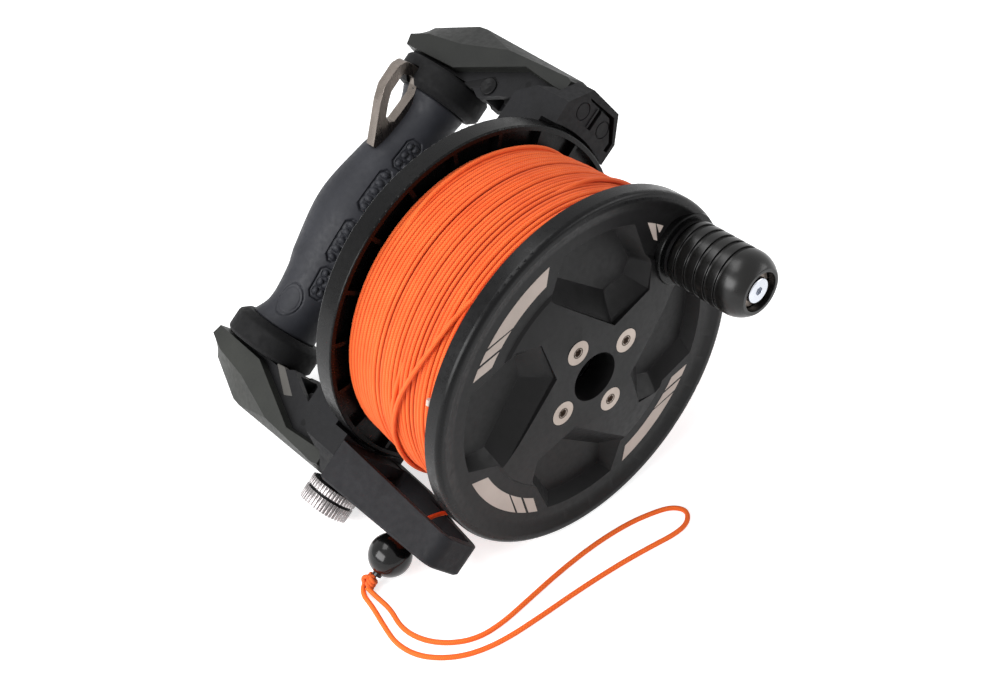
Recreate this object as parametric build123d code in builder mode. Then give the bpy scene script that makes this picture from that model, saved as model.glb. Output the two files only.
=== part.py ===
from build123d import *
from math import acos, atan2, cos, degrees, hypot, pi, radians, sin, sqrt, tan
import os

os.makedirs("parts", exist_ok=True)

# A finger spool in a two-armed frame with a cross handle, all lengths in millimetres.
# The spool axis is X, towards the crank. The origin is the centre of the hub hole,
# in the plane of the front rim. The reel stands on both rims and on the brake knob.

# Spool
rim_radius = 75
spool_length = 74.3
front_band = 7.5
rear_band = 9.4
rim_round = 2.2
rim_wall = 2.2
flange_back = 10.5
hub_rise = 0.9
hub_radius = 22
bore_radius = 10.45
web = 4.5
web_inset = 1.2
window_inner = 60
window_bar = 1.8
window_count = 20
pocket_radius = 62
pocket_depth = 7
drum_radius = 36
drum_wall = 3
drum_hub = 24

# Line
line_diameter = 1.8
lanyard_diameter = 2.1
winding_radius = 65.6
winding_crown = 1.3

# Crank
crank_radius = 59.3
crank_angle = -4.3
knob_radius = 13.2
knob_length = 35
spindle_radius = 5.5

# Frame
rim_gap = 1.7
block_depth = 27
block_lap = 6.3
block_height = 17.8
block_rise = 7.3
block_half = 20
block_crest = 10.7
bar_gap = 5.2
bar_depth = 12
bar_half = 18
bar_end = 13.7
axle_radius = 13
axle_bore = 10.6
cover_lap = 10
arm_drop = 3.7
arm_rise = 25.5
cover_half = 13
cover_core = 5
spine_half = 8.7
block_inner = rim_radius + rim_gap
block_shoulder = block_inner + block_rise
block_outer = block_inner + block_height
block_front = spool_length - block_lap
block_rear = block_front + block_depth
bar_front = spool_length + bar_gap
cover_front = block_front + cover_lap
arm_inner = block_inner - arm_drop

# Handle
handle_reach = 75.7
arm_behind = 24
grip_margin = 13
grip_end_radius = 15.8
core_radius = 8
core_wall = 2.5
core_margin = 10
pin_margin = 5.5
collar_radius = 21
collar_gap = 0.4
handle_setback = spool_length + handle_reach
arm_length = handle_setback + arm_behind - cover_front
grip_half = arm_inner - grip_margin
core_half = arm_inner + core_margin
pin_reach = arm_inner + pin_margin
collar_length = grip_margin - collar_gap

# Guide, stopper and brake
guide_drop = 4.8
guide_height = 13
guide_tip = 6
guide_tip_half = 11.5
guide_wall = 3.6
ball_radius = 8.9
ball_setback = 32
brake_lap = 0.3
brake_radius = 11
brake_stand = 13.5
brake_pitch = 0.5
shoe_gap = 0.8
guide_top = block_inner + guide_drop
brake_setback = spool_length - brake_lap
brake_reach = block_outer + brake_stand

# Fits
running = 0.05
seat = 0.02
gap = 0.3
overrun = 5

# The reel leans until the far edge of the brake knob touches the floor beside the rims
lean = acos(rim_radius / hypot(brake_reach, brake_radius)) + atan2(brake_radius, brake_reach)
along = Vector(0, sin(lean), cos(lean))
beside = Vector(0, -cos(lean), sin(lean))
forward = Vector(1, 0, 0)


def spot(setback, u, w):
    """A place by its distance behind the front rim, along the handle and beside it."""
    return forward * -setback + along * u + beside * w


def polar(setback, radius, angle):
    """A place by its radius and angle about the spool axis."""
    return spot(setback, radius * cos(radians(angle)), radius * sin(radians(angle)))


def across(setback, angle=0):
    """A plane square to the spool axis: x along the handle, y beside it."""
    return Plane(origin=spot(setback, 0, 0), x_dir=polar(0, 1, angle), z_dir=forward)


def level(w=0):
    """A plane of the spool axis and the handle: x forward, y along the handle."""
    return Plane(origin=spot(0, 0, w), x_dir=forward, z_dir=beside)


def facing(u):
    """A plane square to the handle: x beside, y forward."""
    return Plane(origin=spot(0, u, 0), x_dir=beside, z_dir=along)


def own_plane(origin, normal):
    """A plane on a piece of its own, with the given normal."""
    x_dir = forward if normal == beside else beside
    return Plane(origin=origin, x_dir=x_dir, z_dir=normal)


on_base = (Align.CENTER, Align.CENTER, Align.MIN)
on_top = (Align.CENTER, Align.CENTER, Align.MAX)

# Front flange: dished face with four faceted pockets, a raised hub and a round lip
face_shares = ((0, 0.52), (0.173, 0.653), (0.307, 0.667), (0.307, 0.875), (0.04, 0.945), (0, 0.957))
back_shares = ((1, 0.867), (1.4, 0.827))
pocket_edge_shares = ((0.218, 0.761), (0.323, 0.134), (0.624, 0.015), (0.758, 0.129), (0.887, 0.462),
                      (0.468, 0.884))
pocket_floor_shares = ((0.355, 0.71), (0.46, 0.25), (0.613, 0.156), (0.71, 0.21), (0.79, 0.516),
                       (0.468, 0.823))
pocket_rise = 1
screw_circle = 18.4
screw_angle = 77.5
screw_radius = 2.5
screw_head = 5.2
screw_length = 17
screw_socket = 1.75
boss_radius = 12.5
boss_height = 4

boss_top = boss_height - front_band * face_shares[3][0]
crank_spot = polar(0, crank_radius, crank_angle)


def pocket_corners(shares):
    """The six corners of a pocket."""
    return [(pocket_radius * x, pocket_radius * y) for x, y in shares]


def pocket_bow(corners):
    """The middle of a pocket's outer side, which lies on a circle."""
    start, end = corners[-2:]
    reach = (hypot(*start) + hypot(*end)) / 2
    middle = (atan2(start[1], start[0]) + atan2(end[1], end[0])) / 2
    return (reach * cos(middle), reach * sin(middle))


with BuildPart() as spool_front_flange:
    with BuildSketch(level()) as profile:
        with BuildLine():
            face = [(-front_band * x, rim_radius * r) for x, r in face_shares]
            back = [(-front_band * x, rim_radius * r) for x, r in back_shares]
            Polyline((hub_rise, bore_radius), (hub_rise, hub_radius), *face, (0, rim_radius),
                     (-front_band, rim_radius), *back, (-flange_back, bore_radius), close=True)
        make_face()
        fillet(profile.vertices().sort_by_distance((0, rim_radius))[0], rim_round)
    revolve(axis=Axis.X)
    for quarter in range(4):
        for setback, shares in ((pocket_depth + pocket_rise, pocket_floor_shares),
                                (pocket_rise, pocket_edge_shares)):
            with BuildSketch(across(setback, 90 * quarter)) as edge:
                with BuildLine():
                    corners = pocket_corners(shares)
                    Polyline(*corners[:-1])
                    ThreePointArc(corners[-2], pocket_bow(corners), corners[-1])
                    Line(corners[-1], corners[0])
                make_face()
        loft(ruled=True, mode=Mode.SUBTRACT)
        extrude(edge.sketch, amount=overrun, mode=Mode.SUBTRACT)
    with BuildSketch(own_plane(crank_spot - forward * front_band, forward)):
        Circle(boss_radius)
    extrude(amount=front_band + boss_top, taper=2)
    with Locations(across(-hub_rise)):
        with PolarLocations(screw_circle, 4, start_angle=screw_angle):
            CounterSinkHole(screw_radius + running, screw_head, counter_sink_angle=90)
    with BuildSketch(own_plane(crank_spot - forward * front_band, forward)):
        Circle(spindle_radius + seat)
    extrude(amount=2 * flange_back, mode=Mode.SUBTRACT)
spool_front_flange.part.label = "spool_front_flange"
export_step(spool_front_flange.part, "parts/spool_front_flange.step")

# Rear flange: a thin rim round a web with a ring of windows
rear_web = spool_length - rear_band + web_inset
window_angle = 2.4
window_floor = 1.4
with BuildPart() as spool_rear_flange:
    with BuildSketch(level()) as rear_profile:
        with BuildLine():
            Polyline((-rear_web, drum_hub + seat), (-rear_web, rim_radius - rim_wall),
                     (-(spool_length - rear_band), rim_radius - rim_wall),
                     (-(spool_length - rear_band), rim_radius), (-spool_length, rim_radius),
                     (-spool_length, rim_radius - rim_wall), (-rear_web - web, rim_radius - rim_wall),
                     (-rear_web - web, drum_hub + seat), close=True)
        make_face()
        fillet(rear_profile.vertices().filter_by(lambda v: v.Y > rim_radius - seat), rim_wall / 3)
    revolve(axis=Axis.X)
    window_outer = rim_radius - rim_wall
    with BuildSketch(across(rear_web + web - window_floor)):
        Circle(window_outer)
        Circle(window_inner, mode=Mode.SUBTRACT)
        with PolarLocations((window_inner + window_outer) / 2, window_count, start_angle=window_angle):
            Rectangle(window_outer - window_inner + window_bar, window_bar, mode=Mode.SUBTRACT)
    extrude(amount=web, mode=Mode.SUBTRACT)
spool_rear_flange.part.label = "spool_rear_flange"
export_step(spool_rear_flange.part, "parts/spool_rear_flange.step")

# Drum: a bearing hub and a shell, joined by a web, with the front screws in the hub
bush_radius = 15
bush_length = 12
bush_sink = 2.9
bush_front = flange_back + bush_sink
web_middle_share = 0.5
drum_web = 4
with BuildPart() as spool_drum:
    with BuildSketch(level()):
        with Locations((-(flange_back + spool_length) / 2, (axle_radius + gap + drum_hub) / 2)):
            Rectangle(spool_length - flange_back, drum_hub - axle_radius - gap)
        with Locations((-(flange_back + rear_web) / 2, drum_radius - drum_wall / 2)):
            Rectangle(rear_web - flange_back, drum_wall)
        with Locations((-(flange_back + rear_web) * web_middle_share, (drum_hub + drum_radius) / 2)):
            Rectangle(drum_web, drum_radius - drum_hub)
    revolve(axis=Axis.X)
    for setback, depth in ((flange_back, bush_front - flange_back + bush_length),
                           (spool_length - bush_length, bush_length)):
        with BuildSketch(across(setback)):
            Circle(bush_radius + seat)
        extrude(amount=-depth, mode=Mode.SUBTRACT)
    with Locations(across(flange_back)):
        with PolarLocations(screw_circle, 4, start_angle=screw_angle):
            Hole(screw_radius + running, depth=screw_length)
spool_drum.part.label = "spool_drum"
export_step(spool_drum.part, "parts/spool_drum.step")

for name, setback in (("front_bush", bush_front), ("rear_bush", spool_length - bush_length)):
    with BuildPart() as bush:
        with BuildSketch(across(setback)):
            Circle(bush_radius)
            Circle(axle_radius + running, mode=Mode.SUBTRACT)
        extrude(amount=-bush_length)
    bush.part.label = name
    export_step(bush.part, f"parts/{name}.step")

# Four countersunk screws hold the front flange on the drum
for number in range(4):
    place = polar(-hub_rise, screw_circle, screw_angle + 90 * number)
    with BuildPart(own_plane(place, forward)) as screw:
        Cone(screw_radius, screw_head, screw_head - screw_radius, align=on_top)
        Cylinder(screw_radius, screw_length + flange_back - overrun, align=on_top)
        with BuildSketch(own_plane(place, forward)):
            RegularPolygon(screw_socket, 6)
        extrude(amount=-screw_radius, mode=Mode.SUBTRACT)
    screw.part.label = f"flange_screw_{number + 1}"
    export_step(screw.part, f"parts/flange_screw_{number + 1}.step")

# Line on the drum: a core under the outer layer, both crowned
line_front = front_band + line_diameter * 2 / 3
line_rear = rear_web - gap
layer_top = winding_radius + line_diameter / 2
layer_floor = winding_radius - line_diameter / 2
core_front = flange_back + gap
core_top = layer_floor - gap
for name, front, floor, top in (("line_core", core_front, drum_radius + gap, core_top),
                                ("line_winding", line_front, layer_floor, layer_top)):
    with BuildPart() as wound:
        with BuildSketch(level()):
            with BuildLine():
                middle = -(front + line_rear) / 2
                ThreePointArc((-front, top), (middle, top + winding_crown), (-line_rear, top))
                Polyline((-front, top), (-front, floor))
                Polyline((-line_rear, floor), (-line_rear, top))
                if name == "line_core":
                    Line((-line_rear, floor), (-front, floor))
                else:
                    ThreePointArc((-line_rear, floor), (middle, floor + winding_crown), (-front, floor))
            make_face()
        revolve(axis=Axis.X)
    wound.part.label = name
    export_step(wound.part, f"parts/{name}.step")

# Crank: a fixed spindle in the flange carries a grooved knob that turns
washer_thickness = 1
washer_radius = 7.5
nose_recess = 3.4
nose_radius = 8
knob_start = boss_top + gap
knob_end = knob_start + knob_length
knob_seat = knob_end - nose_recess - washer_thickness
crank_head = 5.2
crank_head_height = 2.6
crank_thread = 2.5
crank_thread_length = 14

with BuildPart(own_plane(crank_spot - forward * front_band, forward)) as crank_spindle:
    Cylinder(spindle_radius, front_band + knob_seat - seat, align=on_base)
    with BuildSketch(own_plane(crank_spot + forward * (knob_seat - seat), forward)):
        Circle(crank_thread + seat)
    extrude(amount=-crank_thread_length - overrun, mode=Mode.SUBTRACT)
crank_spindle.part.label = "crank_spindle"
export_step(crank_spindle.part, "parts/crank_spindle.step")

with BuildPart(own_plane(crank_spot + forward * knob_seat, forward)) as crank_washer:
    Cylinder(washer_radius, washer_thickness - seat, align=on_base)
    Cylinder(crank_thread + seat, washer_thickness, align=on_base, mode=Mode.SUBTRACT)
crank_washer.part.label = "crank_washer"
export_step(crank_washer.part, "parts/crank_washer.step")

with BuildPart(own_plane(crank_spot + forward * (knob_seat + washer_thickness), forward)) as crank_screw:
    Cylinder(crank_head, crank_head_height, align=on_base)
    fillet(crank_screw.edges().sort_by(Axis.X)[-1], crank_head_height / 4)
    Cylinder(crank_thread, crank_thread_length, align=on_top)
    with BuildSketch(crank_screw.faces().sort_by(Axis.X)[-1]):
        RegularPolygon(screw_socket, 6)
    extrude(amount=-crank_head_height * 2 / 3, mode=Mode.SUBTRACT)
crank_screw.part.label = "crank_screw"
export_step(crank_screw.part, "parts/crank_screw.step")

groove_shares = (0.13, 0.27, 0.41, 0.55, 0.69)
groove_width = 1.6
groove_depth = 0.9
nose_share = 0.76
knob_shell = 3
with BuildPart() as crank_knob:
    with BuildSketch(Plane(origin=crank_spot, x_dir=forward, z_dir=beside)):
        with BuildLine():
            nose_start = knob_start + nose_share * knob_length
            shoulder = (knob_end, nose_radius + knob_shell / 2)
            Polyline((knob_start, spindle_radius + running), (knob_start, knob_radius - knob_shell / 2),
                     (knob_start + knob_shell / 2, knob_radius), (nose_start, knob_radius))
            TangentArc((nose_start, knob_radius), shoulder, tangent=(1, 0))
            Polyline(shoulder, (knob_end, nose_radius), (knob_end - nose_recess - washer_thickness, nose_radius),
                     (knob_end - nose_recess - washer_thickness, spindle_radius + running),
                     (knob_start, spindle_radius + running))
        make_face()
        for share in groove_shares:
            with Locations((knob_start + share * knob_length, knob_radius)):
                Rectangle(groove_width, 2 * groove_depth, mode=Mode.SUBTRACT)
    revolve(axis=Axis(crank_spot, forward))
crank_knob.part.label = "crank_knob"
export_step(crank_knob.part, "parts/crank_knob.step")

# Hollow axle with its flange, front ring, thrust washer and rear nut
axle_flange = 17
axle_flange_depth = 2.9
axle_nose = 2.2
axle_tail = 4.5
axle_front = bush_front - axle_nose
axle_rear = bar_front + bar_depth + axle_tail
with BuildPart() as axle:
    with BuildSketch(level()):
        with Locations((-(axle_front + axle_rear) / 2, (axle_radius + axle_bore) / 2)):
            Rectangle(axle_rear - axle_front, axle_radius - axle_bore)
        with Locations((-bar_front + axle_flange_depth / 2, (axle_flange + axle_bore) / 2)):
            Rectangle(axle_flange_depth, axle_flange - axle_bore)
    revolve(axis=Axis.X)
axle.part.label = "axle"
export_step(axle.part, "parts/axle.step")

ring_depth = 1.4
ring_radius = 15
with BuildPart() as axle_ring:
    with BuildSketch(across(bush_front - running - ring_depth)):
        Circle(ring_radius - running)
        Circle(axle_radius, mode=Mode.SUBTRACT)
    extrude(amount=-ring_depth)
axle_ring.part.label = "axle_ring"
export_step(axle_ring.part, "parts/axle_ring.step")

with BuildPart() as thrust_washer:
    with BuildSketch(across(spool_length + running)):
        Circle(axle_flange)
        Circle(axle_radius + running, mode=Mode.SUBTRACT)
    extrude(amount=-(bar_front - axle_flange_depth - spool_length - 2 * running))
thrust_washer.part.label = "thrust_washer"
export_step(thrust_washer.part, "parts/thrust_washer.step")

nut_radius = 20
with BuildPart() as axle_nut:
    with BuildSketch(across(bar_front + bar_depth)):
        RegularPolygon(nut_radius, 6)
        Circle(axle_radius + seat, mode=Mode.SUBTRACT)
    extrude(amount=-(axle_rear - bar_front - bar_depth))
axle_nut.part.label = "axle_nut"
export_step(axle_nut.part, "parts/axle_nut.step")

# Rear bar: joins both side frames behind the spool and carries the axle
shoe_radius = 5
shoe_length = 10
stem_radius = 3
bar_boss = 24
bar_slot_length = 32
bar_slot_width = 14
frame_screw_setback = bar_front + bar_depth / 2
frame_screw_radius = 2.5
frame_screw_head = 4
frame_screw_rise = 11.3
frame_screw_seat = block_inner + frame_screw_rise
frame_screw_length = 26
with BuildPart() as frame_bar:
    with BuildSketch(across(bar_front)):
        Rectangle(2 * block_inner, 2 * bar_half)
        Circle(bar_boss)
        Circle(block_inner, mode=Mode.INTERSECT)
        with Locations((bar_boss + bar_slot_length / 2, 0), (-bar_boss - bar_slot_length / 2, 0)):
            SlotOverall(bar_slot_length, bar_slot_width, mode=Mode.SUBTRACT)
        Circle(axle_radius + seat, mode=Mode.SUBTRACT)
    extrude(amount=-bar_depth)
    with BuildSketch(across(spool_length + rim_gap)):
        Circle(block_inner)
        Circle(block_inner - bar_end, mode=Mode.SUBTRACT)
        Rectangle(2 * block_inner, 2 * block_half, mode=Mode.INTERSECT)
    extrude(amount=-(block_rear - spool_length - rim_gap))
    with BuildSketch(own_plane(spot(brake_setback, 0, 0), along)):
        Circle(shoe_radius + gap)
    extrude(amount=-block_outer, mode=Mode.SUBTRACT)
    for hand in (1, -1):
        with BuildSketch(own_plane(spot(frame_screw_setback, hand * frame_screw_seat, 0), along)):
            Circle(frame_screw_radius + seat)
        extrude(amount=-hand * (frame_screw_length + seat), mode=Mode.SUBTRACT)
frame_bar.part.label = "frame_bar"
export_step(frame_bar.part, "parts/frame_bar.step")

# Side frames: an end block beside the rear flange and a spine that reaches the handle
block_side_shares = ((0, 0.8), (0, 1), (0.356, 1), (0.356, 0.92), (0.48, 0.92), (0.7, 0.888), (1, 0.825))
spine_shares = ((0, 0.2), (0, 0.79), (0.406, 0.7), (0.656, 0.62), (0.85, 0.5), (0.93, 0.25),
                (0.95, 0.02), (0.646, 0.02), (0.525, 0.01), (0.458, -0.118), (0.354, 0.06),
                (0.208, 0.235), (0.177, 0.2))
recess_front_share = 0.2
recess_length = 22.5
recess_half = 5.4
recess_depth = 21
recess_sink = 5
recess_floor = arm_inner - recess_sink
recess_top = recess_floor + recess_depth
pin_radius = 2
panel_depth = 4
panel_moat = ((14.5, 10), (15.4, -9.8), (6.9, -18.2), (2.6, -18.2), (2.4, -15.7), (6.3, -15.7), (13.8, -7.1),
              (13.7, 8.5))
panel_slot = ((4.4, -0.4), (4.4, 1.8), (14.2, 1.8), (14.2, -0.4))
panel_ribs = (((4.6, 1.8), (4.6, 2.9), (13.2, 2.9), (13.2, 1.8)), ((4.6, -1.5), (4.6, -0.4), (13.2, -0.4), (13.2, -1.5)))
panel_rings = ((8.4, 9.3), (8.3, -7.5))
rib_rise = 0.4
groove = 0.5
boss_button = 3.9
lever_pin_radius = 1.5
lever_pin_place_shares = (0.24, 0.45)
cover_screw_share = 0.475
cover_screw_radius = 1.6
cover_screw_head = 3.5
cover_screw_rise = 23
cover_screw_reach = arm_inner + cover_screw_rise
guide_screw_radius = 1.6
guide_screw_spread = 9.5
guide_screw_depth = 12
guide_screw_drop = 3.4
guide_screw_reach = guide_top + guide_screw_drop
guide_base = 8


def arm_point(share, rise_share, hand):
    """A corner of an arm by its share of the arm's length and rise."""
    return (-(cover_front + share * arm_length), hand * (arm_inner + rise_share * arm_rise))


def arm_corners(shares, hand):
    """The corners of an outline from a table of such shares."""
    return [arm_point(*pair, hand) for pair in shares]


def pin_spot(hand):
    """Where a lever's pin stands."""
    x, y = arm_point(*lever_pin_place_shares, hand)
    return spot(-x, y, 0)


cover_screw_setback = cover_front + cover_screw_share * arm_length
recess_middle = cover_front + recess_front_share * arm_length + recess_length / 2
foot = sqrt(block_inner ** 2 - block_half ** 2)

for hand, end in ((1, "upper"), (-1, "lower")):
    with BuildPart() as side_frame:
        with BuildSketch(across(block_front)):
            with BuildLine():
                ThreePointArc((hand * foot, -block_half), (hand * block_inner, 0), (hand * foot, block_half))
                Polyline((hand * foot, block_half), (hand * block_shoulder, block_half),
                         (hand * block_outer, block_crest), (hand * block_outer, -block_crest),
                         (hand * block_shoulder, -block_half), (hand * foot, -block_half))
            make_face()
        extrude(amount=-(block_rear - block_front))
        with BuildSketch(level()):
            with BuildLine():
                Polyline((-block_rear, 0), (-block_front, 0),
                         *[(-block_front - x * block_depth, hand * block_outer * y)
                           for x, y in block_side_shares], close=True)
            make_face()
        extrude(amount=block_half + overrun, both=True, mode=Mode.INTERSECT)
        with BuildSketch(level()):
            Polygon(*arm_corners(spine_shares, hand), align=None)
        extrude(amount=spine_half, both=True)
        with BuildSketch(level()):
            with Locations((-recess_middle, hand * (recess_top + recess_floor) / 2)):
                Rectangle(recess_length, recess_top - recess_floor)
        extrude(amount=recess_half, both=True, mode=Mode.SUBTRACT)
        with BuildSketch(own_plane(pin_spot(hand), beside)):
            Circle(lever_pin_radius + seat)
        extrude(amount=spine_half + overrun, both=True, mode=Mode.SUBTRACT)
        with BuildSketch(own_plane(spot(handle_setback, hand * (core_half + gap), 0), along)):
            Circle(core_radius + seat)
        extrude(amount=-hand * 2 * arm_rise, mode=Mode.SUBTRACT)
        with BuildSketch(own_plane(spot(handle_setback, hand * pin_reach, 0), beside)):
            Circle(pin_radius + seat)
        extrude(amount=spine_half, both=True, mode=Mode.SUBTRACT)
        with BuildSketch(own_plane(spot(frame_screw_setback, hand * frame_screw_seat, 0), along)):
            Circle(frame_screw_head + seat)
        extrude(amount=hand * overrun * 2, mode=Mode.SUBTRACT)
        with BuildSketch(own_plane(spot(frame_screw_setback, 0, 0), along)):
            Circle(frame_screw_radius + seat)
        extrude(amount=hand * (frame_screw_seat + overrun), mode=Mode.SUBTRACT)
        with BuildSketch(own_plane(spot(cover_screw_setback, hand * cover_screw_reach, 0), along)):
            Circle(cover_screw_radius + seat)
        extrude(amount=-hand * 2 * arm_rise, mode=Mode.SUBTRACT)
        with BuildSketch(own_plane(spot(cover_screw_setback, hand * (arm_inner + seat), 0), along)):
            Circle(cover_screw_head + seat)
        extrude(amount=-hand * arm_rise, mode=Mode.SUBTRACT)
        if hand > 0:
            with BuildSketch(across(block_front)):
                for corners in (panel_moat, panel_slot):
                    Polygon(*[(block_inner + rise, w) for rise, w in corners], align=None)
            extrude(amount=-panel_depth, mode=Mode.SUBTRACT)
            with BuildSketch(across(block_front)):
                for corners in panel_ribs:
                    Polygon(*[(block_inner + rise, w) for rise, w in corners], align=None)
            extrude(amount=rib_rise)
            with BuildSketch(across(block_front)):
                with Locations(*[(block_inner + rise, w) for rise, w in panel_rings]):
                    Circle(boss_button)
                    Circle(boss_button - groove, mode=Mode.SUBTRACT)
            extrude(amount=-groove, mode=Mode.SUBTRACT)
        else:
            with BuildSketch(own_plane(spot(brake_setback, 0, 0), along)):
                Circle(shoe_radius + running)
            extrude(amount=-(block_inner + shoe_length + shoe_gap), mode=Mode.SUBTRACT)
            with BuildSketch(own_plane(spot(brake_setback, 0, 0), along)):
                Circle(stem_radius + running)
            extrude(amount=-(block_outer + overrun), mode=Mode.SUBTRACT)
            for way in (1, -1):
                place = spot(block_front, -guide_screw_reach, way * guide_screw_spread)
                with BuildSketch(own_plane(place, forward)):
                    Circle(guide_screw_radius + seat)
                extrude(amount=-guide_screw_depth, mode=Mode.SUBTRACT)
    side_frame.part.label = f"{end}_side_frame"
    export_step(side_frame.part, f"parts/{end}_side_frame.step")

    with BuildPart(own_plane(spot(frame_screw_setback, hand * frame_screw_seat, 0), along * hand)) as screw:
        Cylinder(frame_screw_head, frame_screw_head, align=on_base)
        Cylinder(frame_screw_radius, frame_screw_length, align=on_top)
    screw.part.label = f"{end}_frame_screw"
    export_step(screw.part, f"parts/{end}_frame_screw.step")

# Arm covers: faceted outer shells that cap the spines
cover_shares = ((0.979, 0.06), (1, 0.43), (0.958, 0.61), (0.719, 0.98), (0.667, 1), (0.021, 0.92),
                (0, 0.863), (0, 0.557), (0.0625, 0.557), (0.27, 0.627), (0.646, 0.06))
cover_face_shares = ((0.969, 0.08), (0.984, 0.27), (0.885, 0.41), (0.677, 0.51), (0.406, 0.784),
                     (0.04, 0.82), (0.01, 0.784), (0.01, 0.588), (0.068, 0.588), (0.27, 0.667),
                     (0.635, 0.098))
for hand, end in ((1, "upper"), (-1, "lower")):
    with BuildPart() as arm_cover:
        with BuildSketch(level()):
            Polygon(*arm_corners(cover_shares, hand), align=None)
        extrude(amount=cover_core, both=True)
        for way in (1, -1):
            with BuildSketch(level(way * cover_core)):
                Polygon(*arm_corners(cover_shares, hand), align=None)
            with BuildSketch(level(way * cover_half)):
                Polygon(*arm_corners(cover_face_shares, hand), align=None)
            loft(ruled=True)
        with BuildSketch(level()) as hollow:
            Polygon(*arm_corners(spine_shares, hand), align=None)
            offset(amount=gap / 2)
        extrude(amount=spine_half + gap / 2, both=True, mode=Mode.SUBTRACT)
        with BuildSketch(own_plane(spot(cover_screw_setback, hand * cover_screw_reach, 0), along)):
            Circle(cover_screw_radius + seat)
        extrude(amount=-hand * arm_rise, mode=Mode.SUBTRACT)
    arm_cover.part.label = f"{end}_arm_cover"
    export_step(arm_cover.part, f"parts/{end}_arm_cover.step")

    head_place = spot(cover_screw_setback, hand * arm_inner, 0)
    with BuildPart(own_plane(head_place, along * hand)) as screw:
        Cylinder(cover_screw_head, cover_screw_radius, align=on_top)
        Cylinder(cover_screw_radius, cover_screw_reach - arm_inner - seat, align=on_base)
    screw.part.label = f"{end}_cover_screw"
    export_step(screw.part, f"parts/{end}_cover_screw.step")

# Release levers on pins with torsion springs, one in each spine's recess
lever_shares = ((0.2135, 0.54), (0.2135, 0.353), (0.26, 0.275), (0.281, 0), (0.333, 0.02),
                (0.365, 0.176), (0.42, 0.176), (0.417, 0.294), (0.37, 0.43), (0.27, 0.55))
lever_half = 5
spring_half = 1.2
spring_outer = 3
for hand, end in ((1, "upper"), (-1, "lower")):
    with BuildPart() as lever:
        with BuildSketch(level()):
            Polygon(*arm_corners(lever_shares, hand), align=None)
        extrude(amount=lever_half, both=True)
        with BuildSketch(own_plane(pin_spot(hand), beside)):
            Circle(lever_pin_radius + running)
        extrude(amount=lever_half, both=True, mode=Mode.SUBTRACT)
        with BuildSketch(own_plane(pin_spot(hand), beside)):
            Circle(spring_outer + gap)
            with Locations((0, spring_outer)):
                Rectangle(2 * (spring_outer + gap), 2 * spring_outer)
        extrude(amount=spring_half + gap, both=True, mode=Mode.SUBTRACT)
    lever.part.label = f"{end}_lever"
    export_step(lever.part, f"parts/{end}_lever.step")

    with BuildPart(own_plane(pin_spot(hand), beside)) as lever_pin:
        Cylinder(lever_pin_radius, 2 * spine_half)
    lever_pin.part.label = f"{end}_lever_pin"
    export_step(lever_pin.part, f"parts/{end}_lever_pin.step")

    with BuildPart(own_plane(pin_spot(hand), beside)) as lever_spring:
        Cylinder(spring_outer, 2 * spring_half)
        Cylinder(lever_pin_radius + seat, 2 * spring_half, mode=Mode.SUBTRACT)
    lever_spring.part.label = f"{end}_lever_spring"
    export_step(lever_spring.part, f"parts/{end}_lever_spring.step")

# Handle: a tube between the spines, pinned at both ends, under a swelling grip
handle_axis = Axis(spot(handle_setback, 0, 0), along)
with BuildPart(own_plane(spot(handle_setback, 0, 0), along)) as handle_core:
    Cylinder(core_radius, 2 * core_half)
    Cylinder(core_radius - core_wall, 2 * core_half, mode=Mode.SUBTRACT)
    for hand in (1, -1):
        with BuildSketch(own_plane(spot(handle_setback, hand * pin_reach, 0), beside)):
            Circle(pin_radius + seat)
        extrude(amount=2 * core_radius, both=True, mode=Mode.SUBTRACT)
handle_core.part.label = "handle_core"
export_step(handle_core.part, "parts/handle_core.step")

for hand, end in ((1, "upper"), (-1, "lower")):
    with BuildPart(own_plane(spot(handle_setback, hand * pin_reach, 0), beside)) as core_pin:
        Cylinder(pin_radius, 2 * spine_half - gap)
    core_pin.part.label = f"{end}_core_pin"
    export_step(core_pin.part, f"parts/{end}_core_pin.step")

# D-ring: a flat plate that stands out beside the upper end of the grip
ring_offset = 0.7
ring_setback = handle_setback + ring_offset
ring_thickness = 5
ring_root = 9.6
ring_length = 40.5
ring_end_drop = 5.5
ring_outer_end = arm_inner - ring_end_drop
ring_inner_end = ring_outer_end - ring_length
ring_height = 31
ring_round = 3
eye_round = 1.2
ring_shares = ((0.03, 0), (0.03, 0.355), (0.462, 0.874), (0.615, 1), (0.864, 1), (0.958, 0.893),
               (0.985, 0.62), (1, 0))
eye_shares = ((0.341, 0.369), (0.37, 0.523), (0.491, 0.668), (0.61, 0.776), (0.83, 0.776), (0.872, 0.579),
              (0.872, 0.393), (0.82, 0.28), (0.733, 0.215), (0.383, 0.262))


def ring_corners(shares):
    """The corners of the ring or its eye, across the handle."""
    return [(ring_inner_end + x * ring_length, ring_root + y * (ring_height - ring_root)) for x, y in shares]


with BuildPart() as d_ring:
    with BuildSketch(across(ring_setback)) as ring_face:
        Polygon(*ring_corners(ring_shares), align=None)
        fillet(ring_face.vertices().sort_by(Axis.Y)[-4:], ring_round)
    extrude(amount=ring_thickness / 2, both=True)
    with BuildSketch(across(ring_setback)) as eye:
        Polygon(*ring_corners(eye_shares), align=None)
        fillet(eye.vertices(), eye_round)
    extrude(amount=ring_thickness, both=True, mode=Mode.SUBTRACT)
d_ring.part.label = "d_ring"
export_step(d_ring.part, "parts/d_ring.step")


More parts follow.
